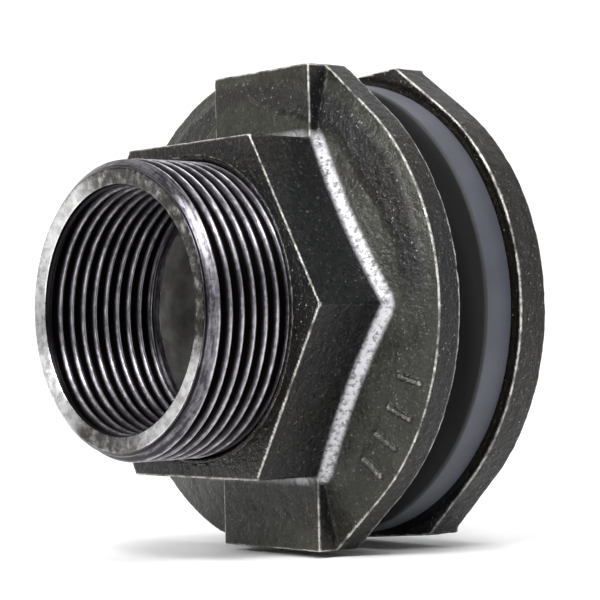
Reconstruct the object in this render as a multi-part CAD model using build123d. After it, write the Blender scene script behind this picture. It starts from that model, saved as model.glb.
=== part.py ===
from build123d import *
import os
from math import acos, atan2, cos, sin, tan, radians, sqrt, pi

# Flanged tank connector (bulkhead fitting) in black malleable cast iron.
# Three pieces: the body casting (threaded sleeve, round flange, wrench hexagon),
# the flanged hexagon nut that runs on the sleeve, and the rubber sealing ring.
#
# Row frame: +Z up, millimetres. The sleeve axis lies along Y. The open mouth
# of the sleeve faces -Y; Y grows towards the body hexagon. The origin is on
# the axis, halfway along the fitting. Depths below count from the mouth.

# ---------------------------------------------------------------- dimensions
PITCH = 2.309            # 11 threads per inch, all the pipe threads here
CREST_FLAT = 0.385       # width of the truncated crest and root
FLANK = tan(radians(27.5))          # Whitworth flank half angle

R_EXT = 23.90            # G 1 1/2 outside thread, crest radius (47.803 dia)
R_EXT_ROOT = 22.42       # its root radius (44.845 dia)
R_INT = 19.476           # G 1 1/4 inside thread, crest radius (38.952 dia)
R_INT_ROOT = 20.955      # its root radius (41.910 dia)

CREST_EXT_Y = 1.79       # where an outside crest crosses the +X side
CREST_INT_Y = 1.09       # where an inside crest crosses the -X side

TOTAL_LENGTH = 64.0      # mouth to the rear hexagon face
MOUTH_CHAMFER = 1.55     # outside lead chamfer
MOUTH_LIP = 0.25         # inside lip chamfer
FRONT_TURNS = 11         # turns of the inside thread at the mouth, run-in included
REAR_TURNS = 8           # and at the rear
LAND_R = 19.75           # plain tapping land behind each inside thread
LAND_D0 = 23.3           # where the front land starts, from the mouth
LAND_D1 = 29.5           # and where it ends
REAR_LAND_D0 = 38.5      # where the rear land starts, from the same mouth
REAR_LAND_D1 = 44.7      # and where it ends
CORE_R = 18.9            # cast bore between the two lands
NECK_R = 22.25           # plain neck under the seal, clear of the thread root
NECK_Y = 43.0            # outside thread ends here

# flanged hexagon nut
NUT_FRONT = 15.04        # hexagon front face
NUT_REAR = 36.10         # flat clamping face
HEX_AF = 54.2            # across flats
LUG_HALF_W = HEX_AF / 2 / sqrt(3)   # the lugs carry on the top and bottom flats
LUG_LEFT = -8.3          # the nut's lugs stop short of the left hexagon corner
LUG_OUT = 39.2           # axis to the outer flat of a lug
LUG_FACE = 27.7          # front face of the lugs
FLANGE_R = 40.2          # round flange radius
EDGE_Y = 31.5            # front edge of the rim
DISH = tan(radians(15.0))           # the flange rises towards the hexagon
FILLET_R = 1.76          # casting fillet round the hexagon base
NUT_BORE_R = 22.56       # nut thread crest radius, clear of the sleeve root
NUT_ROOT_R = 24.06       # nut thread root radius, clear of the sleeve crest
FLANK_GAP = 0.12         # axial play on each flank
NUT_CSK = 1.2            # lead countersink at both faces of the nut

# body flange
SEAL_BACK = 49.60        # clamping face of the body flange
RIM_BACK = 55.40         # back edge of its rim
BACK_LUG_FACE = 56.4     # back face of its lugs
BACK_DISH = tan(radians(5.0))       # its back rises less towards the hexagon
BODY_TURN = 4.0          # the body sits this many degrees round from the nut

# sealing ring
SEAL_FRONT = 43.50
SEAL_R = 38.4
SEAL_BORE_R = 24.25
SEAL_EDGE = 0.5


# ------------------------------------------------------------------- helpers
# Everything is modelled standing up: x right, y up, z towards the mouth, so a
# depth d behind the mouth is z = -d. to_row() then lays the axis along Y and
# brings the middle of the fitting to the origin.
def to_row(shape):
    return Pos(0, -TOTAL_LENGTH / 2, 0) * Rot(90, 0, 0) * shape


def disc(r, d0, d1):
    """A solid disc between depths d0 and d1."""
    return Pos(0, 0, -(d0 + d1) / 2) * Cylinder(r, d1 - d0)


def turned(points):
    """A solid of revolution from (radius, depth) points."""
    pts = [(r, -d) for r, d in points]
    return revolve(make_face(Plane.XZ * Polyline(*pts, close=True)), Axis.Z, 360)


def thread_groove(r_wall, w_wall, r_tip, r_beyond, d_start, turns):
    """A helical V cutter, right-handed, from depth d_start towards the mouth.
    It is w_wall across at the wall's radius r_wall, narrows to the root radius
    r_tip on the Whitworth flanks, and runs parallel-sided past the wall, in
    the air, out to r_beyond. It is swept one turn at a time."""
    away = 1 if r_wall > r_tip else -1
    past = 0.15
    r_wide = r_wall + away * past
    w_wide = w_wall + 2 * past * FLANK
    w_tip = w_wall - 2 * abs(r_tip - r_wall) * FLANK
    turn = Helix(pitch=PITCH, height=PITCH, radius=r_tip)
    path = Wire([Pos(0, 0, -d_start + i * PITCH) * turn for i in range(turns)])
    prof = Polyline(
        (r_beyond, -d_start - w_wide / 2),
        (r_wide, -d_start - w_wide / 2),
        (r_tip, -d_start - w_tip / 2),
        (r_tip, -d_start + w_tip / 2),
        (r_wide, -d_start + w_wide / 2),
        (r_beyond, -d_start + w_wide / 2),
        close=True,
    )
    return sweep(make_face(Plane.XZ * prof), path=path, is_frenet=True)


def hexagon(d0, d1):
    """Hexagonal prism with flats at top and bottom."""
    pts = [
        (HEX_AF / sqrt(3) * cos(radians(a)), HEX_AF / sqrt(3) * sin(radians(a)))
        for a in range(0, 360, 60)
    ]
    face = make_face(Polyline(*pts, close=True))
    return Pos(0, 0, -d1) * extrude(face, d1 - d0)


def lugged(d0, d1, left):
    """The flange outline: a circle, flat at the lugs. A lug's corner at the
    end of the hexagon flat runs into the circle along a straight tangent; a
    lug that stops short, at x = left, has no such corner on that side."""
    corner = sqrt(LUG_HALF_W**2 + LUG_OUT**2)
    at = atan2(LUG_OUT, LUG_HALF_W) - acos(FLANGE_R / corner)
    tx, ty = FLANGE_R * cos(at), FLANGE_R * sin(at)
    body = disc(FLANGE_R, d0, d1)
    for s in (1, -1):
        pts = [(LUG_HALF_W, s * LUG_OUT), (tx, s * ty), (0, 0)]
        if left <= -LUG_HALF_W:
            pts += [(-tx, s * ty), (-LUG_HALF_W, s * LUG_OUT)]
        else:
            pts += [(0, s * LUG_OUT)]
        face = make_face(Polyline(*pts, close=True))
        body += Pos(0, 0, -d1) * extrude(face, d1 - d0, dir=(0, 0, 1))
    slab = Pos(0, 0, -(d0 + d1) / 2) * Box(120, 2 * LUG_OUT, d1 - d0)
    return body & slab


def flange_casting(hex_end, lug_face, edge, flat, dish, left, soften):
    """Hexagon, two lugs and the dished round flange as one casting. Depths
    run from the hexagon's free end to the flat clamping face, either way."""
    way = 1 if flat > hex_end else -1
    lo, hi = sorted((hex_end, flat))
    plate = lugged(lo, hi, left)
    inner = 18.0
    top = edge - way * (FLANGE_R - inner) * dish
    plate &= turned(
        [(0, flat), (60, flat), (60, edge), (FLANGE_R, edge), (inner, top), (0, top)]
    )
    body = plate + hexagon(*sorted((hex_end, edge)))
    for s in (1, -1):
        mid = (LUG_OUT + 18.0) / 2
        d0, d1 = sorted((lug_face, flat))
        body += Pos((LUG_HALF_W + left) / 2, s * mid, -(d0 + d1) / 2) * Box(
            LUG_HALF_W - left, LUG_OUT - 18.0, d1 - d0
        )
    if not soften:
        return body
    # casting fillet along the four sloping hexagon faces, where they meet
    # the dished flange
    soft = []
    for e in body.edges():
        c = e.center()
        d = -c.Z
        reach = abs(c.X) * cos(radians(30)) + abs(c.Y) * sin(radians(30))
        near_base = abs(reach - HEX_AF / 2) < 0.3 and abs(c.Y) < HEX_AF / 2 - 1
        between = abs(d - edge) < 6.0
        if near_base and between and e.length > 20:
            soft.append(e)
    return fillet(soft, FILLET_R)


# ----------------------------------------------------------------------- nut
nut = flange_casting(NUT_FRONT, LUG_FACE, EDGE_Y, NUT_REAR, DISH, LUG_LEFT, True)
nut -= disc(NUT_BORE_R, NUT_FRONT - 1, NUT_REAR + 1)
wide = NUT_ROOT_R - NUT_BORE_R + NUT_CSK
for face_d, inward in ((NUT_FRONT, 1), (NUT_REAR, -1)):
    nut -= turned(
        [
            (0, face_d - inward * 0.5),
            (NUT_ROOT_R + NUT_CSK * 0.4 + 0.5, face_d - inward * 0.5),
            (NUT_BORE_R - 0.3, face_d + inward * (wide - 0.2)),
            (0, face_d + inward * (wide - 0.2)),
        ]
    )


def ridge_width(r):
    """Width of a sleeve thread ridge at radius r."""
    return CREST_FLAT + 2 * (R_EXT - r) * FLANK


nut -= thread_groove(
    NUT_BORE_R,
    ridge_width(NUT_BORE_R) + 2 * FLANK_GAP,
    NUT_ROOT_R,
    NUT_BORE_R - 0.7,
    CREST_EXT_Y + 16 * PITCH,
    12,
)

# ---------------------------------------------------------------------- body
sleeve = turned(
    [
        (0, 0),
        (R_EXT - MOUTH_CHAMFER, 0),
        (R_EXT, MOUTH_CHAMFER),
        (R_EXT, NECK_Y),
        (NECK_R, NECK_Y + R_EXT - NECK_R),
        (NECK_R, SEAL_BACK + 0.5),
        (0, SEAL_BACK + 0.5),
    ]
)
back = flange_casting(
    TOTAL_LENGTH, BACK_LUG_FACE, RIM_BACK, SEAL_BACK, BACK_DISH, -LUG_HALF_W, False
)
body = sleeve + Rot(0, 0, BODY_TURN) * back

# straight bores: thread crest radius at each end, the cast core between them
body -= disc(R_INT, -1, LAND_D1)
body -= disc(CORE_R, LAND_D1 - 5, REAR_LAND_D0 + 5)
body -= disc(R_INT, REAR_LAND_D0, TOTAL_LENGTH + 1)

# inside threads, both right-handed, then the land behind each of them
inside = (R_INT, PITCH - CREST_FLAT, R_INT_ROOT, R_INT - 0.7)
body -= thread_groove(*inside, CREST_INT_Y + 9 * PITCH, FRONT_TURNS)
body -= thread_groove(*inside, TOTAL_LENGTH + 1.6, REAR_TURNS)
body -= disc(LAND_R, LAND_D0, LAND_D1)
body -= disc(LAND_R, REAR_LAND_D0, REAR_LAND_D1)

# outside thread, run out into the neck
body -= thread_groove(
    R_EXT,
    PITCH - CREST_FLAT,
    R_EXT_ROOT,
    R_EXT + 0.7,
    CREST_EXT_Y + PITCH / 2 + 18 * PITCH,
    21,
)

# small lip chamfers at both mouths
for mouth, inward in ((0, 1), (TOTAL_LENGTH, -1)):
    body -= turned(
        [
            (0, mouth - inward),
            (R_INT + MOUTH_LIP + 1, mouth - inward),
            (R_INT, mouth + inward * MOUTH_LIP),
            (0, mouth + inward * MOUTH_LIP),
        ]
    )

# ---------------------------------------------------------------------- seal
seal = disc(SEAL_R, SEAL_FRONT, SEAL_BACK) - disc(
    SEAL_BORE_R, SEAL_FRONT - 1, SEAL_BACK + 1
)
rim_edges = [
    e for e in seal.edges() if e.geom_type == GeomType.CIRCLE and e.radius > 30
]
seal = fillet(rim_edges, SEAL_EDGE)

# --------------------------------------------------------------------- write
os.makedirs("parts", exist_ok=True)
for name, solid in (
    ("body_casting", body),
    ("flanged_nut", nut),
    ("sealing_ring", seal),
):
    piece = to_row(solid)
    solids = piece.solids()
    print(name, len(solids), "solid(s)", round(piece.volume, 1), piece.is_valid)
    export_step(solids[0] if len(solids) == 1 else piece, f"parts/{name}.step")
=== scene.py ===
from math import asin, cos, pi, radians, sin, sqrt, tan

import bpy
import numpy as np
from mathutils import Matrix, Vector


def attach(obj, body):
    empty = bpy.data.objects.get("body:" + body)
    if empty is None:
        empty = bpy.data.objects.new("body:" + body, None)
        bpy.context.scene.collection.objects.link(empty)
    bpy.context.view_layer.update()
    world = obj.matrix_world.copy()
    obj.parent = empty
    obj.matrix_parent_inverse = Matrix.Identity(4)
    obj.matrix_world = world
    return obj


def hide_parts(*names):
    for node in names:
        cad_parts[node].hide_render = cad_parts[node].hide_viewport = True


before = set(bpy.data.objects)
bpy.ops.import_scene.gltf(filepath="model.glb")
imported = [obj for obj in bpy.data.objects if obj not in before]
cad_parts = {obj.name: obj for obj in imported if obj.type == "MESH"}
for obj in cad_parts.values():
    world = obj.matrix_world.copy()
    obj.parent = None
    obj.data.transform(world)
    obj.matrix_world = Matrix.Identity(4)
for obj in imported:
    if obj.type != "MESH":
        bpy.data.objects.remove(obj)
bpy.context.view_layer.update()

# Lengths below are in millimetres. A depth s counts from the sleeve's mouth
# towards the body hexagon, so the row's Y is s - HALF. X is right seen from
# the mouth and Z is up.
HALF = 32.0
LENGTH = 64.0
PITCH = 2.309
R_EXT, R_INT = 23.90, 19.476
THREAD_H = 1.4785
HEX_AF = 54.2
LUG_W = HEX_AF / 2 / sqrt(3)
LUG_LEFT = -8.3        # the nut's lugs stop short on their left
LUG_OUT = 39.2
FLANGE_R = 40.15
FOOT_R = 1.75          # casting fillet at the nut hexagon's base
SEAM = 24.7            # nut casting's bore, lined with the threaded insert


# --------------------------------------------------------------------- noise
def _hash(ix, iy, iz, seed):
    h = (
        ix.astype(np.int64) * 374761393
        + iy.astype(np.int64) * 668265263
        + iz.astype(np.int64) * 2147483647
        + seed * 1274126177
    )
    h = (h ^ (h >> 13)) * 1274126177
    h = h & 0x7FFFFFFF
    h = (h ^ (h >> 16)) * 2246822519
    h = h & 0x7FFFFFFF
    return ((h ^ (h >> 15)) & 0xFFFFFF) / float(0xFFFFFF)


def noise(p, size, seed=0):
    """Smooth value noise in -1..1 at points p (N,3), with cells of that size."""
    q = p / size
    i = np.floor(q)
    f = q - i
    f = f * f * f * (f * (f * 6 - 15) + 10)
    i = i.astype(np.int64)
    out = np.zeros(len(p))
    for dx in (0, 1):
        wx = f[:, 0] if dx else 1 - f[:, 0]
        for dy in (0, 1):
            wy = f[:, 1] if dy else 1 - f[:, 1]
            for dz in (0, 1):
                wz = f[:, 2] if dz else 1 - f[:, 2]
                out += (
                    wx * wy * wz * _hash(i[:, 0] + dx, i[:, 1] + dy, i[:, 2] + dz, seed)
                )
    return out * 2 - 1


def fbm(p, size, octaves=3, seed=0):
    total, gain, norm = np.zeros(len(p)), 1.0, 0.0
    for k in range(octaves):
        total += gain * noise(p, size / 2**k, seed + 17 * k)
        norm += gain
        gain *= 0.5
    return total / norm


# ------------------------------------------------------- distance functions
def smin(a, b, r):
    """Union with a concave fillet of radius r."""
    u = np.maximum(r - a, 0)
    v = np.maximum(r - b, 0)
    return np.maximum(r, np.minimum(a, b)) - np.sqrt(u * u + v * v)


def smax(a, b, r):
    """Intersection with a convex rounding of radius r."""
    return -smin(-a, -b, r)


def hexagon(x, z, half, r):
    d = None
    for deg in (30, 90, 150):
        a = radians(deg)
        k = np.abs(x * cos(a) + z * sin(a)) - half
        d = k if d is None else smax(d, k, r)
    return d


CORNER = sqrt(LUG_W**2 + LUG_OUT**2)


def outline(x, z, radius, r, both=True):
    """Flange outline: a circle with flats at the lugs, joined by tangents,
    on both sides or on the right only."""
    at = np.arctan2(LUG_OUT, LUG_W) - np.arccos(radius / CORNER)
    ax, az = np.abs(x), np.abs(z)
    rho = np.sqrt(ax * ax + az * az)
    line = ax * cos(at) + az * sin(at) - radius
    straight = smax(az - LUG_OUT, line, r)
    cornered = az * cos(at) > ax * sin(at)
    if not both:
        cornered &= x > 0
    return np.where(cornered, straight, smax(rho - radius, az - LUG_OUT, r))


def turn(x, z, deg):
    c, s = cos(radians(deg)), sin(radians(deg))
    return x * c + z * s, -x * s + z * c


def cast_bars(p):
    """Four short raised bars on the dish, low on the right."""
    d = None
    for deg, lo, hi in ((-45, 34.3, 37.9), (-36.5, 34.1, 37.6), (-28, 34.3, 38.0), (-19, 34.6, 38.0)):
        a = radians(deg)
        ends = []
        for rho in (lo, hi):
            ends.append((rho * cos(a), 31.5 - (FLANGE_R - rho) * tan(radians(15.0)) - 0.08, rho * sin(a)))
        a0, b0 = np.array(ends[0]), np.array(ends[1])
        ab = b0 - a0
        h = np.clip((p - a0) @ ab / (ab @ ab), 0, 1)
        k = np.linalg.norm(p - a0 - h[:, None] * ab, axis=1) - 0.52
        d = k if d is None else np.minimum(d, k)
    return d


def nut_shape(p):
    """The nut casting: hexagon, two lugs and the dished flange, one bore."""
    x, s, z = p[:, 0], p[:, 1], p[:, 2]
    rho = np.sqrt(x * x + z * z)
    hexa = hexagon(x, z, HEX_AF / 2, 0.35)
    hexa = smax(hexa, 15.04 - s, 0.25)
    hexa = smax(hexa, s - 34.0, 0.2)
    sides = smax(x - LUG_W, LUG_LEFT - x, 0.25)
    lug = smax(sides, np.abs(z) - LUG_OUT, 0.25)
    lug = smax(lug, 27.7 - s, 0.35)
    lug = smax(lug, s - 36.1, 0.25)
    dish = tan(radians(15.0))
    top = 31.5 - np.maximum(FLANGE_R - rho, 0) * dish
    edge = outline(x, z, FLANGE_R, 0.4, False)
    plate = smax(edge, (top - s) * cos(radians(15.0)), 0.3)
    plate = smax(plate, s - 36.1, 0.3)
    d = smin(smin(hexa, plate, FOOT_R), lug, 0.45)
    d = smax(d, s - 36.1, 0.2)
    d = smax(d, edge, 0.2)
    d = smin(d, cast_bars(p), 0.35)
    bore = SEAM - rho
    csk = (SEAM + 0.12 - rho - np.minimum(s - 15.04, 36.1 - s)) * 0.7071
    return smax(d, np.maximum(bore, csk), 0.15)


def nut_painted_highlight(p):
    """Painted highlight in the fillet round the hexagon's base, 0..1: how far into the fillet a point lies,
    stronger near the lug corner and dimmer on the upper side.
    """
    x, s, z = p[:, 0], p[:, 1], p[:, 2]
    rho = np.sqrt(x * x + z * z)
    u = FOOT_R - hexagon(x, z, HEX_AF / 2, 0.35)
    top = 31.5 - np.maximum(FLANGE_R - rho, 0) * tan(radians(15.0))
    v = FOOT_R - (top - s) * cos(radians(15.0))
    lug = (x > LUG_LEFT) & (x < LUG_W) & (np.abs(z) > HEX_AF / 2 - 1)
    inside = np.clip((np.minimum(u, v) / FOOT_R - 0.10) / 0.36, 0, 1)
    # painted highlight: a bright spot where the fillet meets the lug, a dimmer band on the upper side
    corner = 0.30 + 0.70 * np.clip((x - 9) / 4, 0, 1)
    upper = 1 - 0.30 * np.clip(z / 3, 0, 1)
    return np.where(lug, corner * inside, upper * inside) * (s > 22)


def rear_shape(p):
    """The body's flange, lugs and hexagon, behind the seal."""
    x, s, z = p[:, 0], p[:, 1], p[:, 2]
    x, z = turn(x, z, 4.0)
    rho = np.sqrt(x * x + z * z)
    hexa = hexagon(x, z, HEX_AF / 2, 0.35)
    hexa = smax(hexa, s - LENGTH, 0.3)
    hexa = smax(hexa, 51.0 - s, 0.2)
    lug = smax(np.abs(x) - LUG_W, np.abs(z) - LUG_OUT, 0.3)
    lug = smax(lug, s - 56.4, 0.35)
    lug = smax(lug, 49.6 - s, 0.25)
    core = smin(hexa, lug, 0.8)
    dish = tan(radians(5.0))
    top = 55.5 + np.maximum(FLANGE_R - rho, 0) * dish
    edge = outline(x, z, FLANGE_R, 0.4)
    plate = smax(edge, (s - top) * cos(radians(5.0)), 0.22)
    plate = smax(plate, 49.6 - s, 0.3)
    d = smin(core, plate, 1.4)
    d = smax(d, 49.6 - s, 0.2)
    d = smax(d, edge, 0.2)
    bore = 21.45 - rho
    csk = (22.4 - rho - (LENGTH - s)) * 0.7071
    return smax(d, np.maximum(bore, csk), 0.15)


# ------------------------------------------------------------------- meshing
def contour(f, lo, hi, h):
    """Dual contouring of f on a grid: vertices snap to the shape's edges.
    Returns points, quads and each point's unit normal."""
    n = [int(np.ceil((hi[k] - lo[k]) / h)) + 1 for k in range(3)]
    ax = [lo[k] + h * np.arange(n[k]) for k in range(3)]
    field = np.empty(n, np.float32)
    step = max(1, 400000 // (n[1] * n[2]))
    for i in range(0, n[0], step):
        gx, gy, gz = np.meshgrid(ax[0][i : i + step], ax[1], ax[2], indexing="ij")
        pts = np.stack([gx.ravel(), gy.ravel(), gz.ravel()], 1)
        field[i : i + step] = f(pts).reshape(gx.shape)
    inside = field < 0
    cells = [m - 1 for m in n]
    count = np.zeros(cells, np.int8)
    for dx in (0, 1):
        for dy in (0, 1):
            for dz in (0, 1):
                count += inside[
                    dx : dx + cells[0], dy : dy + cells[1], dz : dz + cells[2]
                ]
    mixed = (count > 0) & (count < 8)
    index = np.full(cells, -1, np.int64)
    total = int(mixed.sum())
    index[mixed] = np.arange(total)
    cell_ijk = np.argwhere(mixed)

    cross_p, quads, owners = [], [], []
    around = {
        0: [(0, -1, -1), (0, 0, -1), (0, 0, 0), (0, -1, 0)],
        1: [(-1, 0, -1), (-1, 0, 0), (0, 0, 0), (0, 0, -1)],
        2: [(-1, -1, 0), (0, -1, 0), (0, 0, 0), (-1, 0, 0)],
    }
    for axis in range(3):
        a = [slice(None)] * 3
        b = [slice(None)] * 3
        a[axis], b[axis] = slice(0, -1), slice(1, None)
        cut = inside[tuple(a)] != inside[tuple(b)]
        for other in range(3):
            if other != axis:
                trim = [slice(None)] * 3
                trim[other] = slice(0, 1)
                cut[tuple(trim)] = False
                trim[other] = slice(-1, None)
                cut[tuple(trim)] = False
        ijk = np.argwhere(cut)
        f0 = field[ijk[:, 0], ijk[:, 1], ijk[:, 2]].astype(float)
        up = ijk.copy()
        up[:, axis] += 1
        f1 = field[up[:, 0], up[:, 1], up[:, 2]].astype(float)
        t = f0 / (f0 - f1)
        p = np.stack([ax[k][ijk[:, k]] for k in range(3)], 1)
        p[:, axis] += t * h
        ring = [
            index[ijk[:, 0] + o[0], ijk[:, 1] + o[1], ijk[:, 2] + o[2]]
            for o in around[axis]
        ]
        q = np.stack(ring, 1)
        flip = f0 > 0
        q[flip] = q[flip][:, ::-1]
        quads.append(q)
        cross_p.append(p)
        owners.append(np.stack(ring, 1))
    cross_p = np.concatenate(cross_p)
    owners = np.concatenate(owners)
    quads = np.concatenate(quads)
    normal = gradient(f, cross_p, 0.02)

    mass = np.zeros((total, 3))
    weight = np.zeros(total)
    for k in range(4):
        weight += np.bincount(owners[:, k], minlength=total)
        for c in range(3):
            mass[:, c] += np.bincount(owners[:, k], cross_p[:, c], minlength=total)
    mass /= np.maximum(weight, 1)[:, None]
    ata = np.zeros((total, 3, 3))
    atb = np.zeros((total, 3))
    for k in range(4):
        o = owners[:, k]
        rel = np.einsum("ij,ij->i", normal, cross_p - mass[o])
        for c in range(3):
            atb[:, c] += np.bincount(o, normal[:, c] * rel, minlength=total)
            for e in range(c, 3):
                v = np.bincount(o, normal[:, c] * normal[:, e], minlength=total)
                ata[:, c, e] += v
                if e != c:
                    ata[:, e, c] += v
    val, vec = np.linalg.eigh(ata)
    keep = val > 0.08 * val[:, 2:3]
    inv = np.where(keep, 1 / np.where(keep, val, 1), 0)
    coef = np.einsum("nij,ni->nj", vec, atb) * inv
    move = np.einsum("nij,nj->ni", vec, coef)
    points = mass + move
    low = np.stack([ax[k][cell_ijk[:, k]] for k in range(3)], 1)
    points = np.clip(points, low, low + h)
    sharp = keep[:, 1]
    flat = ~sharp
    for _ in range(2):
        g = gradient(f, points[flat], 0.02, unit=False)
        v = f(points[flat])
        points[flat] -= g * (v / np.maximum((g * g).sum(1), 0.05))[:, None]
    return points, quads, gradient(f, points, 0.25)


def gradient(f, p, e, unit=True):
    g = np.empty((len(p), 3))
    for k in range(3):
        d = np.zeros(3)
        d[k] = e
        g[:, k] = (f(p + d) - f(p - d)) / (2 * e)
    if unit:
        g /= np.maximum(np.linalg.norm(g, axis=1), 1e-9)[:, None]
    return g


def convexity(f, p, nrm, e):
    """About 1 on sharp outer edges, 0 on flats, below 0 in hollows."""
    t = np.cross(nrm, np.where(np.abs(nrm[:, 1:2]) < 0.9, [[0, 1, 0]], [[1, 0, 0]]))
    t /= np.maximum(np.linalg.norm(t, axis=1), 1e-9)[:, None]
    b = np.cross(nrm, t)
    total = np.zeros(len(p))
    for a in range(8):
        w = cos(a * pi / 4) * t + sin(a * pi / 4) * b
        total += f(p + w * e)
    return total / 8 / e


def make_mesh(name, points, faces, slots, material_index=None, attributes=None):
    """points in millimetres with Y as depth; faces is a list or an array."""
    mesh = bpy.data.meshes.new(name)
    co = np.asarray(points, float).copy()
    co[:, 1] -= HALF
    co /= 1000.0
    faces = [np.asarray(f, np.int64) for f in faces if len(f)]
    nv = len(co)
    loops = np.concatenate([f.ravel() for f in faces])
    sizes = np.concatenate([np.full(len(f), f.shape[1]) for f in faces])
    starts = np.concatenate([[0], np.cumsum(sizes)[:-1]])
    mesh.vertices.add(nv)
    mesh.vertices.foreach_set("co", co.astype(np.float32).ravel())
    mesh.loops.add(len(loops))
    mesh.loops.foreach_set("vertex_index", loops.astype(np.int32))
    mesh.polygons.add(len(sizes))
    mesh.polygons.foreach_set("loop_start", starts.astype(np.int32))
    mesh.polygons.foreach_set("loop_total", sizes.astype(np.int32))
    mesh.polygons.foreach_set("use_smooth", np.ones(len(sizes), bool))
    for m in slots:
        mesh.materials.append(m)
    if material_index is not None:
        mesh.polygons.foreach_set("material_index", material_index.astype(np.int32))
    for key, values in (attributes or {}).items():
        a = mesh.attributes.new(key, "FLOAT", "POINT")
        a.data.foreach_set("value", np.asarray(values, np.float32))
    mesh.update(calc_edges=True)
    mesh.validate(verbose=False)
    obj = bpy.data.objects.new(name, mesh)
    bpy.context.scene.collection.objects.link(obj)
    return obj


class Turned:
    """A closed surface of revolution with helical stretches. All rings have
    the same columns, so that threads join plain faces without a seam."""

    def __init__(self, columns):
        self.n = columns
        self.phi = 2 * pi * np.arange(columns) / columns
        self.points, self.mark, self.quads, self.tris, self.mats = [], [], [], [], []
        self.count = 0
        self.tri_mats = []

    def ring(self, s, r, mark=0.0):
        r = np.broadcast_to(r, self.n)
        s = np.broadcast_to(s, self.n)
        self.points.append(np.stack([r * np.cos(self.phi), s, r * np.sin(self.phi)], 1))
        self.mark.append(np.broadcast_to(mark, self.n).astype(float))
        at = self.count + np.arange(self.n)
        self.count += self.n
        return at

    def join(self, a, b, mat=0):
        """Faces from ring a to ring b, seen from outside when s grows."""
        a2, b2 = np.roll(a, -1), np.roll(b, -1)
        q = np.stack([a, b, b2, a2], 1)
        self.quads.append(q)
        self.mats.append(np.full(len(q), mat))
        return b

    def path(self, start, steps, mat=0):
        """Rings one after another; steps are (s, r) or (s, r, mark)."""
        last = start
        for step in steps:
            new = self.ring(*step)
            self.join(last, new, mat)
            last = new
        return last

    def helix(self, lo, hi, s_lo, s_hi, radius, crest, fracs, mat=0, flip=False):
        """Helical stretch between existing rings lo and hi. radius(phi, s, t)
        gives the radius and the mark, where t is the phase from a crest."""
        m = len(fracs)
        turns = int(np.ceil((s_hi - s_lo) / PITCH)) + 3
        k0 = int(np.floor((s_lo - crest) / PITCH)) - 1
        j = np.arange(turns * m)
        base = crest + PITCH * (k0 + j // m + np.asarray(fracs)[j % m])
        shift = PITCH * self.phi / (2 * pi)
        s = base[:, None] - shift[None, :]
        real = (s > s_lo + 0.03) & (s < s_hi - 0.03)
        ids = np.where(s <= s_lo + 0.03, lo[None, :], hi[None, :])
        number = self.count + np.arange(real.sum())
        ids[real] = number
        phi = np.broadcast_to(self.phi[None, :], s.shape)[real]
        t = np.broadcast_to(
            (np.asarray(fracs)[j % m])[:, None], s.shape
        )[real]
        r, mark = radius(phi, s[real], t)
        self.points.append(np.stack([r * np.cos(phi), s[real], r * np.sin(phi)], 1))
        self.mark.append(mark)
        self.count += len(number)
        nxt = np.empty_like(ids)
        nxt[:, :-1] = ids[:, 1:]
        nxt[m:, -1] = ids[:-m, 0]
        nxt[:m, -1] = lo[0]
        a, b, c, d = ids[:-1], ids[1:], nxt[1:], nxt[:-1]
        q = np.stack([a.ravel(), b.ravel(), c.ravel(), d.ravel()], 1)
        if flip:
            q = q[:, ::-1]
        same = np.stack([q[:, k] == q[:, (k + 1) % 4] for k in range(4)], 1)
        diagonal = (q[:, 0] == q[:, 2]) | (q[:, 1] == q[:, 3])
        n_same = same.sum(1)
        good = q[(n_same == 0) & ~diagonal]
        self.quads.append(good)
        self.mats.append(np.full(len(good), mat))
        one = q[(n_same == 1) & ~diagonal]
        which = same[(n_same == 1) & ~diagonal].argmax(1)
        tri = np.empty((len(one), 3), np.int64)
        for k in range(4):
            pick = which == k
            keep = [x for x in range(4) if x != (k + 1) % 4]
            tri[pick] = one[pick][:, keep]
        self.tris.append(tri)
        self.tri_mats.append(np.full(len(tri), mat))
        return hi

    def build(self, name, slots, displace=None, attributes=None):
        points = np.concatenate(self.points)
        mark = np.concatenate(self.mark)
        if displace is not None:
            points = displace(points, mark)
        faces = [np.concatenate(self.quads)]
        mats = [np.concatenate(self.mats)]
        if self.tris and sum(map(len, self.tris)):
            faces.append(np.concatenate(self.tris))
            mats.append(np.concatenate(self.tri_mats))
        extra = attributes(points, mark) if attributes else {}
        extra["mark"] = mark
        return make_mesh(name, points, faces, slots, np.concatenate(mats), extra)


# Whitworth form, as phases over one pitch counted from a crest
ARC = 0.137329 * PITCH
ARC_X = ARC * cos(radians(27.5))
ARC_D = ARC * (1 - sin(radians(27.5)))
FRACS = (0.0, 0.055, 0.1218, 0.205, 0.295, 0.3782, 0.445, 0.5)
FRACS = FRACS + tuple(1 - f for f in FRACS[-2:0:-1])


def whitworth(t):
    """Depth below the crest at phase t."""
    x = np.abs(((t + 0.5) % 1.0) - 0.5) * PITCH
    y = PITCH / 2 - x
    crest = ARC - np.sqrt(np.maximum(ARC**2 - np.minimum(x, ARC_X) ** 2, 0))
    root = THREAD_H - ARC + np.sqrt(np.maximum(ARC**2 - np.minimum(y, ARC_X) ** 2, 0))
    flank = ARC_D + (x - ARC_X) / tan(radians(27.5))
    return np.where(x <= ARC_X, crest, np.where(y <= ARC_X, root, flank))


# ----------------------------------------------------------------- materials
def nodes_of(name):
    m = bpy.data.materials.new(name)
    m.use_nodes = True
    t = m.node_tree
    t.nodes.clear()
    out = t.nodes.new("ShaderNodeOutputMaterial")
    bsdf = t.nodes.new("ShaderNodeBsdfPrincipled")
    t.links.new(bsdf.outputs["BSDF"], out.inputs["Surface"])
    return m, t, bsdf


def put(t, kind, **values):
    n = t.nodes.new(kind)
    for k, v in values.items():
        if hasattr(n, k):
            setattr(n, k, v)
        else:
            n.inputs[k].default_value = v
    return n


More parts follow.
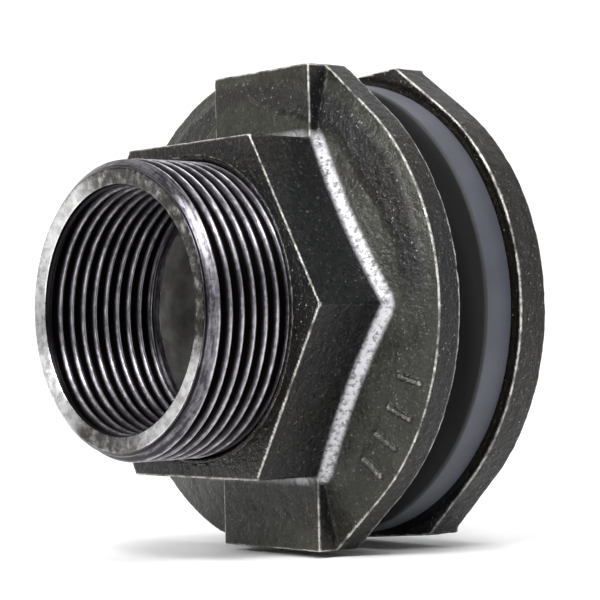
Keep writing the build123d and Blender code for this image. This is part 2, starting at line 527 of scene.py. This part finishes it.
def noise_tex(t, coord, scale, detail=3.0, rough=0.55, distortion=0.0):
    n = t.nodes.new("ShaderNodeTexNoise")
    n.inputs["Scale"].default_value = scale
    n.inputs["Detail"].default_value = detail
    n.inputs["Roughness"].default_value = rough
    n.inputs["Distortion"].default_value = distortion
    t.links.new(coord, n.inputs["Vector"])
    return n.outputs["Fac"]


def ramp(t, value, stops):
    r = t.nodes.new("ShaderNodeValToRGB")
    e = r.color_ramp.elements
    while len(e) < len(stops):
        e.new(0.5)
    for item, (pos, col) in zip(e, stops):
        item.position = pos
        item.color = col if len(col) == 4 else (*col, 1.0)
    t.links.new(value, r.inputs["Fac"])
    return r.outputs["Color"]


def maths(t, op, a, b=None, clamp=False):
    n = t.nodes.new("ShaderNodeMath")
    n.operation = op
    n.use_clamp = clamp
    for k, v in enumerate((a, b)):
        if v is None:
            continue
        if isinstance(v, (int, float)):
            n.inputs[k].default_value = v
        else:
            t.links.new(v, n.inputs[k])
    return n.outputs[0]


def blend_col(t, fac, a, b, mode="MIX"):
    n = t.nodes.new("ShaderNodeMix")
    n.data_type = "RGBA"
    n.blend_type = mode
    n.clamp_result = False
    for key, v in (("Factor", fac), ("A", a), ("B", b)):
        sock = [s for s in n.inputs if s.name == key and s.enabled][0]
        if isinstance(v, (int, float)):
            sock.default_value = v
        elif isinstance(v, tuple):
            sock.default_value = v if len(v) == 4 else (*v, 1.0)
        else:
            t.links.new(v, sock)
    return [s for s in n.outputs if s.enabled][0]


def attribute(t, name):
    n = t.nodes.new("ShaderNodeAttribute")
    n.attribute_type = "GEOMETRY"
    n.attribute_name = name
    return n.outputs["Fac"]


def coords(t):
    return t.nodes.new("ShaderNodeTexCoord").outputs["Object"]


def bump(t, height, strength, distance, normal=None):
    b = t.nodes.new("ShaderNodeBump")
    b.inputs["Strength"].default_value = strength
    b.inputs["Distance"].default_value = distance
    t.links.new(height, b.inputs["Height"])
    if normal is not None:
        t.links.new(normal, b.inputs["Normal"])
    return b.outputs["Normal"]


def casting_material(name):
    """Black lacquered malleable iron, sand-cast grain, worn outer edges, with painted light from the tone attribute
    and a painted highlight in the fillet.
    """
    m, t, bsdf = nodes_of(name)
    co = coords(t)
    grain = noise_tex(t, co, 3000, 2.0, 0.6)
    mid = noise_tex(t, co, 1300, 3.0, 0.6)
    coarse = noise_tex(t, co, 520, 3.0, 0.6)
    patch = noise_tex(t, co, 120, 3.0, 0.55, 0.6)
    big = noise_tex(t, co, 38, 2.0, 0.5)
    rough_zone = attribute(t, "rough")
    edge = attribute(t, "edge")
    painted_light_tone = attribute(t, "painted_light_tone")
    painted_fillet_highlight = attribute(t, "painted_fillet_highlight")

    def about(value, gain):
        return maths(t, "MULTIPLY", maths(t, "SUBTRACT", value, 0.5), gain)

    # colour: olive black, browner in patches, greyer by noise and where the tone attribute paints light
    dark = ramp(t, big, [(0.40, (0.0050, 0.0034, 0.0026)), (0.60, (0.0052, 0.0056, 0.0066))])
    light = ramp(t, patch, [(0.38, (0.026, 0.025, 0.017)), (0.62, (0.050, 0.053, 0.038))])
    mixed = maths(t, "ADD", painted_light_tone, maths(t, "ADD", about(grain, 0.9), about(mid, 0.5)))
    mixed = maths(t, "ADD", mixed, about(coarse, 0.20), True)
    base = blend_col(t, mixed, dark, light)
    # light flecks where sand grains broke the coat
    flecks = ramp(t, grain, [(0.62, (0, 0, 0)), (0.68, (1, 1, 1))])
    where = ramp(t, mid, [(0.50, (0, 0, 0)), (0.62, (1, 1, 1))])
    amount = maths(t, "ADD", maths(t, "MULTIPLY", rough_zone, 0.85), 0.35, True)
    col = blend_col(t, maths(t, "MULTIPLY", maths(t, "MULTIPLY", flecks, where), amount), base, (0.34, 0.32, 0.31))
    # painted highlight in the fillet, broken by grains
    broken = ramp(t, mid, [(0.36, (0.35, 0.35, 0.35)), (0.52, (1, 1, 1))])
    fillet_glint = maths(t, "MULTIPLY", painted_fillet_highlight, broken, True)
    col = blend_col(t, fillet_glint, col, (0.50, 0.50, 0.52))
    wear_noise = ramp(t, mid, [(0.38, (0, 0, 0)), (0.54, (1, 1, 1))])
    wear = maths(t, "MULTIPLY", edge, maths(t, "ADD", maths(t, "MULTIPLY", wear_noise, 0.6), 0.4), True)
    col = blend_col(t, wear, col, (0.66, 0.63, 0.58))
    t.links.new(col, bsdf.inputs["Base Color"])
    metal = maths(t, "ADD", maths(t, "MULTIPLY", wear, 0.4), maths(t, "MULTIPLY", fillet_glint, 0.65), True)
    t.links.new(metal, bsdf.inputs["Metallic"])
    bsdf.inputs["Specular IOR Level"].default_value = 0.26
    r = maths(t, "ADD", maths(t, "MULTIPLY", coarse, 0.16), maths(t, "MULTIPLY", mid, 0.12))
    r = maths(t, "ADD", r, maths(t, "ADD", maths(t, "MULTIPLY", rough_zone, 0.12), 0.13), True)
    t.links.new(r, bsdf.inputs["Roughness"])
    h = maths(t, "ADD", maths(t, "MULTIPLY", grain, 0.16), maths(t, "MULTIPLY", mid, 0.40))
    h = maths(t, "ADD", h, maths(t, "ADD", maths(t, "MULTIPLY", coarse, 0.5), maths(t, "MULTIPLY", patch, 0.7)))
    amount = maths(t, "ADD", maths(t, "MULTIPLY", rough_zone, 1.5), 0.75)
    n1 = bump(t, maths(t, "MULTIPLY", h, amount), 0.75, 0.00045)
    t.links.new(n1, bsdf.inputs["Normal"])
    return m


def thread_material(name):
    """Cut iron thread: bright crests, oily dark roots."""
    m, t, bsdf = nodes_of(name)
    co = coords(t)
    mark = attribute(t, "mark")
    fine = noise_tex(t, co, 1400, 3.0, 0.6)
    stain = noise_tex(t, co, 150, 3.0, 0.6, 0.4)
    stretch = t.nodes.new("ShaderNodeVectorMath")
    stretch.operation = "MULTIPLY"
    stretch.inputs[1].default_value = (1.0, 14.0, 1.0)
    t.links.new(co, stretch.inputs[0])
    streak = noise_tex(t, stretch.outputs[0], 300, 2.0, 0.6)
    pits = noise_tex(t, co, 1100, 3.0, 0.6)
    lift = maths(t, "ADD", mark, maths(t, "MULTIPLY", maths(t, "SUBTRACT", stain, 0.5), 0.20))
    lift = maths(t, "ADD", lift, maths(t, "MULTIPLY", maths(t, "SUBTRACT", pits, 0.55), 0.20))
    lift = maths(t, "ADD", lift, maths(t, "MULTIPLY", maths(t, "SUBTRACT", streak, 0.5), 0.30), True)
    col = ramp(
        t,
        lift,
        [(0.55, (0.006, 0.005, 0.006)), (0.80, (0.040, 0.036, 0.042)), (0.93, (0.20, 0.19, 0.21)), (1.0, (0.46, 0.44, 0.47))],
    )
    t.links.new(col, bsdf.inputs["Base Color"])
    bsdf.inputs["Metallic"].default_value = 0.9
    t.links.new(maths(t, "ADD", maths(t, "MULTIPLY", fine, 0.25), 0.2), bsdf.inputs["Roughness"])
    t.links.new(bump(t, fine, 0.4, 0.00008), bsdf.inputs["Normal"])
    return m


def faced_material(name):
    """Turned end face: metal with radial sheen and dark pits; bright and dark sectors round the axis are a painted
    reflection.
    """
    m, t, bsdf = nodes_of(name)
    co = coords(t)
    mottle = noise_tex(t, co, 700, 4.0, 0.65)
    big = noise_tex(t, co, 75, 2.0, 0.5)
    bright_sector_colour = ramp(t, mottle, [(0.35, (0.46, 0.45, 0.44)), (0.60, (0.72, 0.715, 0.71))])
    dark_sector_colour = ramp(t, mottle, [(0.44, (0.02, 0.017, 0.013)), (0.56, (0.09, 0.084, 0.075)), (0.68, (0.36, 0.35, 0.33))])
    # painted reflection: bright and dark sectors, counted round the axis from the left
    xyz = t.nodes.new("ShaderNodeSeparateXYZ")
    t.links.new(co, xyz.inputs[0])
    turn_at = maths(t, "ARCTAN2", xyz.outputs["Z"], xyz.outputs["X"])
    turn_at = maths(t, "ADD", maths(t, "MULTIPLY", turn_at, 1 / (2 * pi)), 0.5)
    turn_at = maths(t, "ADD", turn_at, maths(t, "MULTIPLY", maths(t, "SUBTRACT", big, 0.5), 0.03))
    dark_sector_mask = ramp(
        t, turn_at,
        [(0.0, (0, 0, 0)), (0.150, (0, 0, 0)), (0.175, (0.85, 0.85, 0.85)), (0.285, (0.8, 0.8, 0.8)),
         (0.315, (0.05, 0.05, 0.05)), (0.43, (0, 0, 0)), (0.47, (1, 1, 1)), (0.78, (0.9, 0.9, 0.9)), (0.835, (0, 0, 0))],
    )
    col = blend_col(t, dark_sector_mask, bright_sector_colour, dark_sector_colour)
    t.links.new(col, bsdf.inputs["Base Color"])
    bsdf.inputs["Metallic"].default_value = 1.0
    bsdf.inputs["Anisotropic"].default_value = 0.85
    bsdf.inputs["Anisotropic Rotation"].default_value = 0.25
    tan_node = t.nodes.new("ShaderNodeTangent")
    tan_node.direction_type = "RADIAL"
    tan_node.axis = "Y"
    t.links.new(tan_node.outputs["Tangent"], bsdf.inputs["Tangent"])
    t.links.new(maths(t, "ADD", maths(t, "MULTIPLY", mottle, 0.2), 0.18), bsdf.inputs["Roughness"])
    t.links.new(bump(t, mottle, 0.25, 0.00008), bsdf.inputs["Normal"])
    return m


def bore_material(name):
    """Rough cast bore behind the thread."""
    m, t, bsdf = nodes_of(name)
    co = coords(t)
    a = noise_tex(t, co, 300, 4.0, 0.6)
    t.links.new(ramp(t, a, [(0.35, (0.075, 0.074, 0.066)), (0.65, (0.16, 0.155, 0.15))]), bsdf.inputs["Base Color"])
    bsdf.inputs["Metallic"].default_value = 0.3
    bsdf.inputs["Roughness"].default_value = 0.5
    t.links.new(bump(t, a, 0.5, 0.00025), bsdf.inputs["Normal"])
    return m


def rubber_material(name):
    """Blue-grey moulded rubber with a faint bloom."""
    m, t, bsdf = nodes_of(name)
    co = coords(t)
    fine = noise_tex(t, co, 1500, 3.0, 0.6)
    cloud = noise_tex(t, co, 55, 3.0, 0.6)
    col = ramp(t, cloud, [(0.35, (0.036, 0.039, 0.052)), (0.65, (0.054, 0.057, 0.074))])
    # front face (mark 1) painted near black: painted shade of the gap behind the nut's flange
    col = blend_col(t, attribute(t, "mark"), col, (0.012, 0.012, 0.013))
    t.links.new(col, bsdf.inputs["Base Color"])
    t.links.new(maths(t, "ADD", maths(t, "MULTIPLY", fine, 0.15), 0.52), bsdf.inputs["Roughness"])
    bsdf.inputs["Specular IOR Level"].default_value = 0.45
    bsdf.inputs["Sheen Weight"].default_value = 0.08
    t.links.new(bump(t, fine, 0.25, 0.00008), bsdf.inputs["Normal"])
    return m


IRON = casting_material("black_iron")
THREAD = thread_material("cut_thread")
FACED = faced_material("turned_face")
BORE = bore_material("cast_bore")
RUBBER = rubber_material("ring_rubber")


# ------------------------------------------------------------------ castings
def casting(name, shape, lo, hi, body, node, seed, zones):
    pts, quads, nrm = contour(shape, lo, hi, GRID)
    # f is negative inside, so beside an outer edge f rises on both sides
    edge = np.clip((convexity(shape, pts, nrm, 0.26) - 0.10) / 0.09, 0, 1)
    edge *= np.clip(0.75 + 0.9 * fbm(pts, 1.7, 2, seed + 61), 0.15, 1)
    rough, painted_light_tone, painted_fillet_highlight = zones(pts, nrm)
    if name == "nut_casting":
        edge *= np.clip((cast_bars(pts) - 0.1) / 0.4, 0.30, 1)
    soft = fbm(pts, 9.0, 2, seed) * 0.05 + fbm(pts, 2.2, 2, seed + 5) * 0.018
    soft += rough * fbm(pts, 1.3, 2, seed + 9) * 0.06
    nick = np.clip(fbm(pts, 2.6, 3, seed + 31) - 0.12, 0, 1) * 0.45
    nick += np.clip(fbm(pts, 0.9, 2, seed + 43), 0, 1) * 0.08
    pts = pts + nrm * (soft - 0.045 - edge * nick)[:, None]
    obj = make_mesh(
        name, pts, [quads], [IRON], None,
        {"edge": edge, "rough": rough, "painted_light_tone": painted_light_tone, "painted_fillet_highlight": painted_fillet_highlight},
    )
    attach(obj, body)
    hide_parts(node)
    return obj


def nut_zones(p, n):
    """Roughness, painted light tone and painted fillet highlight over the nut casting."""
    x, s, z = p[:, 0], p[:, 1], p[:, 2]
    rho = np.sqrt(x * x + z * z)
    rim = np.clip((rho - 39.3) / 0.6, 0, 1) * (s > 31.6)
    wave = fbm(p, 7.0, 3, 211) * 2.2
    # a rougher band half way out on the dish, painted darker there as painted shade of a dark reflection, strongest
    # on the upper side
    rough_band_painted_shade = np.clip((rho - 33.0 + wave) / 1.2, 0, 1) * np.clip((38.2 - rho + wave * 0.4) / 1.0, 0, 1)
    rough_band_painted_shade *= (s < 31.6) * (n[:, 1] < -0.8) * (0.22 + 0.78 * np.clip(z / 6, 0, 1))
    lug_face = (n[:, 1] < -0.8) * (np.abs(z) > HEX_AF / 2 - 0.5) * (x > LUG_LEFT) * (x < LUG_W)
    dish = (n[:, 1] < -0.8) * (s > 26)
    front = (s < 15.6) * (n[:, 1] < -0.7)
    low = np.clip(-z / 14, 0, 1)
    # painted light: faces turned to the mouth (dish, lug fronts, outer hexagon front) painted lighter, less towards
    # the bottom; faces turned up and right a little lighter
    painted_light_tone = 0.02 + (0.46 - 0.06 * low) * dish * (1 - 0.97 * rough_band_painted_shade) + 0.10 * lug_face
    painted_light_tone += 0.14 * front * np.clip((rho - 25.5) / 5, 0, 1)
    painted_light_tone += 0.04 * (n[:, 0] > 0.5) * (n[:, 2] > 0.2)
    rough = np.clip(rim * 0.9 + rough_band_painted_shade * 0.9 + 0.35 * front + 0.12, 0, 1)
    return rough, np.clip(painted_light_tone, 0, 1), nut_painted_highlight(p)


def rear_zones(p, n):
    rho = np.sqrt(p[:, 0] ** 2 + p[:, 2] ** 2)
    rim = np.clip((rho - 39.0) / 0.8, 0, 1)
    # painted light: the body flange's dish, turned away from the mouth, painted lighter like the nut's dish
    painted_light_tone = 0.04 + 0.34 * (n[:, 1] > 0.8) * (p[:, 1] < 60)
    return np.clip(0.25 + rim * 0.75, 0, 1), painted_light_tone, np.zeros(len(p))


GRID = 0.27

nut = casting(
    "nut_casting", nut_shape, (-41, 14.4, -40), (41, 36.8, 40),
    "nut", "flanged_nut", 3, nut_zones,
)
rear = casting(
    "body_flange_hexagon", rear_shape, (-41, 48.9, -41), (41, 64.7, 41),
    "body", "body_casting", 71, rear_zones,
)

# -------------------------------------------------------------- nut's thread
COLS = 400


def nut_thread():
    g = Turned(COLS)
    s0, s1 = 15.14, 35.96
    outer0 = g.ring(s0 + 0.25, SEAM + 0.25)
    outer1 = g.path(outer0, [(s1 - 0.25, SEAM + 0.25)])
    in1 = g.path(outer1, [(s1, SEAM - 0.1), (s1, 24.12)], 1)
    in0 = g.ring(s0, 24.12)

    def radius(phi, s, t):
        # crests of the nut lie in the sleeve's grooves
        r = 24.06 - whitworth(t)
        r = np.maximum(r, 24.12 - 1.1 * np.minimum(s - s0, s1 - s))
        return r, np.clip((24.06 - r) / THREAD_H, 0, 1)

    g.helix(in0, in1, s0, s1, radius, 1.79, FRACS, flip=True)
    lip = g.ring(s0, SEAM - 0.1)
    g.join(in0, lip, 1)
    g.join(lip, outer0, 1)
    obj = g.build("nut_thread", [THREAD, IRON])
    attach(obj, "nut")
    return obj


nut_thread()


# ------------------------------------------------------------ body's sleeve
def sleeve():
    g = Turned(COLS)
    # outside: chamfer, thread, neck, then hidden inside the flange casting
    mouth_out = g.ring(0.0, 22.30, 0.4)
    lead = g.path(mouth_out, [(0.08, 22.42, 0.9)])
    end_out = g.ring(43.4, 22.35, 0.2)

    def out_radius(phi, s, t):
        fade = np.clip((s - 40.6) / 2.4, 0, 1)
        r = R_EXT - whitworth(t)
        r = np.minimum(r, 22.42 + (s - 0.08) * 1.0)
        r = np.maximum(r, np.where(s < 1.2, 22.30 + 0.08 * np.minimum(s, 0.9), 0))
        r = np.minimum(r, R_EXT - fade * 1.55)
        r = np.maximum(r, 22.35 * (fade >= 1))
        lead_in = np.clip((2.1 - s) / 0.5, 0, 1) * np.clip((s - 0.1) / 0.35, 0.5, 1)
        mark = np.clip((r - (R_EXT - THREAD_H)) / THREAD_H, 0, 1)
        return r, np.maximum(mark, 0.86 * lead_in)

    g.helix(lead, end_out, 0.08, 43.4, out_radius, 1.79, FRACS)
    tail = g.path(end_out, [(44.0, 22.25), (49.4, 22.25), (50.6, 22.0), (62.9, 22.0)], 2)
    # rear end, then forward through the rear thread
    rear_in = g.path(tail, [(63.6, 21.8), (63.6, 21.35)], 2)
    rear_in = g.path(rear_in, [(63.35, 21.05, 0.6)])
    r_start = 43.9
    core = g.ring(r_start, 19.75, 0.2)

    def rear_radius(phi, s, t):
        r = R_INT + whitworth(t)
        fade = np.clip((46.6 - s) / 1.9, 0, 1)
        r = np.maximum(r, 19.75 * (s < 46.6))
        r = np.where(s < 46.6, np.minimum(r, 20.955 - fade * 1.2), r)
        r = np.maximum(r, 21.05 - (63.35 - s) * 1.0)
        return r, np.clip((20.955 - r) / THREAD_H, 0, 1)

    g.helix(core, rear_in, r_start, 63.35, rear_radius, 1.6, FRACS, flip=True)
    plain = g.path(
        core,
        [(42.0, 19.75), (39.4, 19.75), (38.6, 19.2), (38.0, 18.95), (34.0, 18.9),
         (31.0, 18.9), (30.4, 18.95), (29.7, 19.2), (29.0, 19.7), (26.5, 19.75), (24.0, 19.75)],
        2,
    )

    def in_radius(phi, s, t):
        r = R_INT + whitworth(t)
        fade = np.clip((s - 21.6) / 1.4, 0, 1)
        r = np.where(s > 21.6, np.minimum(np.maximum(r, 19.6), 20.955 - fade * 1.25), r)
        # a plain lip at the mouth, then the thread reaches full depth
        r = np.minimum(r, 19.80 + np.maximum(s - 0.9, 0) * 1.0)
        r = np.maximum(r, 19.80 - (s - 0.3) * 0.5)
        lip = np.clip((s - 1.2) / 0.6, 0, 1)
        return r, np.clip((20.955 - r) / THREAD_H, 0, 1) * (0.55 + 0.45 * lip)

    # inside thread: its crest crosses the -X side at 1.09, half a turn round
    mouth_in = g.ring(0.40, 19.82, 0.4)
    g.helix(mouth_in, plain, 0.40, 24.0, in_radius, 1.09 + PITCH / 2, FRACS, flip=True)
    # mouth face, from the bore outwards
    face = g.path(
        mouth_in,
        [(0.33, 19.95, 1), (0.29, 20.25, 1), (0.24, 20.6, 1), (0.18, 21.0, 1), (0.12, 21.4, 1),
         (0.05, 21.8, 1), (0.01, 22.1, 1)],
        1,
    )
    g.join(face, mouth_out, 1)

    def displace(p, mark):
        rho = np.sqrt(p[:, 0] ** 2 + p[:, 2] ** 2)
        out = (rho > 22.0) & (p[:, 1] < 43)
        d = fbm(p, 1.6, 3, 7) * 0.03
        k = 1 + np.where(out, d - 0.03, 0) / rho
        q = p.copy()
        q[:, 0] *= k
        q[:, 2] *= k
        face = p[:, 1] < 0.45
        q[face, 1] += 0.03 + 0.03 * fbm(p[face], 1.1, 3, 19)
        return q

    obj = g.build("threaded_sleeve", [THREAD, FACED, BORE], displace)
    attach(obj, "body")
    return obj


sleeve()


# -------------------------------------------------------------- sealing ring
def ring():
    g = Turned(COLS)
    prof = []

    def corner(cs, cr, r, a0, a1, n=5):
        for k in range(n + 1):
            a = radians(a0 + (a1 - a0) * k / n)
            prof.append((cs + r * cos(a), cr + r * sin(a)))

    # outwards from the front face's inner lip, round the section
    corner(44.05, 24.8, 0.5, 270, 180)
    for r in (28, 31, 34, 36.5):
        prof.append((43.55, r))
    corner(44.20, 37.75, 0.65, 180, 90, 6)
    for s in (45.3, 46.5, 47.6):
        prof.append((s, 38.4))
    corner(48.95, 37.75, 0.65, 90, 0, 6)
    for r in (35, 31, 28):
        prof.append((49.60, r))
    corner(49.1, 24.8, 0.5, 360, 270)
    # the front face is painted darker: painted shade of the narrow gap behind the nut's flange
    prof = [(a, r, 1.0 if a < 43.9 else 0.0) for a, r in prof]
    first = g.ring(*prof[0])
    last = g.path(first, prof[1:])
    g.join(last, first)

    def displace(p, mark):
        rho = np.sqrt(p[:, 0] ** 2 + p[:, 2] ** 2)
        d = fbm(p, 14.0, 2, 5) * 0.05 - 0.05
        q = p.copy()
        big = rho > 30
        q[:, 0] *= np.where(big, 1 + d / rho, 1)
        q[:, 2] *= np.where(big, 1 + d / rho, 1)
        return q

    obj = g.build("rubber_ring", [RUBBER], displace)
    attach(obj, "seal")
    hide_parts("sealing_ring")
    return obj


ring()

# -------------------------------------------------------------------- camera
TH, EL, ROLL = radians(48.708), radians(-1.3245), radians(-1.3564)
DIST, FOCAL = 321.12, 6.4010 * 321.12
ex = Vector((cos(TH), sin(TH), 0))
ey = Vector((-sin(TH), cos(TH), 0))
ez = Vector((0, 0, 1))
fwd = cos(EL) * ey - sin(EL) * ez
up = sin(EL) * ey + cos(EL) * ez
eye = 28.978 * ex + 0.964 * up - DIST * fwd - Vector((0, HALF, 0))
right = cos(ROLL) * ex + sin(ROLL) * up
top = -sin(ROLL) * ex + cos(ROLL) * up
cam_data = bpy.data.cameras.new("camera")
cam_data.sensor_width = 36.0
cam_data.lens = 36.0 * FOCAL / 600.0
cam_data.clip_start, cam_data.clip_end = 0.01, 20.0
cam = bpy.data.objects.new("camera", cam_data)
rot = Matrix((right, top, -fwd)).transposed()
cam.matrix_world = Matrix.Translation(eye / 1000.0) @ rot.to_4x4()
bpy.context.scene.collection.objects.link(cam)
bpy.context.scene.camera = cam


# ------------------------------------------------------------ floor and light
def backdrop():
    """A pale floor disc, wide enough for every view."""
    mesh = bpy.data.meshes.new("floor")
    n, z = 96, -0.0402
    rings = [0.0, 0.3, 0.8, 2.0, 5.0]
    verts, faces = [(0, 0, z)], []
    for r in rings[1:]:
        verts += [(r * cos(2 * pi * k / n), r * sin(2 * pi * k / n), z) for k in range(n)]
    for k in range(n):
        faces.append((0, 1 + k, 1 + (k + 1) % n))
    for j in range(len(rings) - 2):
        a, b = 1 + j * n, 1 + (j + 1) * n
        for k in range(n):
            faces.append((a + k, b + k, b + (k + 1) % n, a + (k + 1) % n))
    mesh.from_pydata(verts, [], faces)
    obj = bpy.data.objects.new("floor", mesh)
    bpy.context.scene.collection.objects.link(obj)
    m, t, bsdf = nodes_of("pale_floor")
    bsdf.inputs["Base Color"].default_value = (0.86, 0.86, 0.86, 1)
    bsdf.inputs["Roughness"].default_value = 0.9
    mesh.materials.append(m)


backdrop()


def wall():
    """White paper sweep standing well behind the object."""
    mesh = bpy.data.meshes.new("sweep")
    n, radius = 72, 2.2
    facing = radians(90) + TH
    prof = [(radius - 0.7 * (1 - sin(a)), -0.0401 + 0.7 * (1 - cos(a))) for a in np.linspace(0, pi / 2, 14)]
    prof = [(1.2, -0.0401)] + prof + [(radius, 3.2)]
    verts, faces = [], []
    for r, z in prof:
        for k in range(n):
            a = facing + radians(-105 + 210 * k / (n - 1))
            verts.append((r * cos(a), r * sin(a), z))
    for j in range(len(prof) - 1):
        for k in range(n - 1):
            faces.append((j * n + k, j * n + k + 1, (j + 1) * n + k + 1, (j + 1) * n + k))
    mesh.from_pydata(verts, [], faces)
    mesh.polygons.foreach_set("use_smooth", [True] * len(faces))
    obj = bpy.data.objects.new("sweep", mesh)
    bpy.context.scene.collection.objects.link(obj)
    mesh.materials.append(bpy.data.materials["pale_floor"])


wall()


def softbox(name, at, size, power, colour=(1, 1, 1), aim=(0, 0, 0)):
    d = bpy.data.lights.new(name, "AREA")
    d.shape = "RECTANGLE"
    d.size, d.size_y = size
    d.energy = power
    d.color = colour
    o = bpy.data.objects.new(name, d)
    o.location = at
    o.rotation_mode = "QUATERNION"
    o.rotation_quaternion = (Vector(aim) - Vector(at)).to_track_quat("-Z", "Y")
    bpy.context.scene.collection.objects.link(o)
    return o


world = bpy.data.worlds.new("studio")
world.use_nodes = True
bg = world.node_tree.nodes["Background"]
bg.inputs["Color"].default_value = (0.95, 0.96, 1.0, 1)
bg.inputs["Strength"].default_value = 0.38
bpy.context.scene.world = world

cam_right = Vector(right)
cam_back = -Vector(fwd)


def around(r, az, el):
    """A point round the object: az from the camera's side, to its right."""
    a, e = radians(az), radians(el)
    side = Vector((cam_right.x, cam_right.y, 0)).normalized()
    back = Vector((cam_back.x, cam_back.y, 0)).normalized()
    return r * (cos(e) * (cos(a) * back + sin(a) * side) + Vector((0, 0, sin(e))))


softbox("key_left", around(0.8, -50, 27), (0.26, 0.26), 5.0)
softbox("key_front", around(0.8, -16, 42), (0.22, 0.20), 3.4)
softbox("key_right", around(0.8, 24, 48), (0.22, 0.20), 2.8)
softbox("side_right", around(0.8, 100, 8), (0.14, 0.50), 0.6)
softbox("overhead", around(0.9, 180, 80), (0.4, 0.3), 2.0)
softbox("paper_wash", around(1.3, 180, 65), (1.6, 0.6), 24, aim=around(2.0, 180, 5))

view = bpy.context.scene.view_settings
view.view_transform = "Standard"
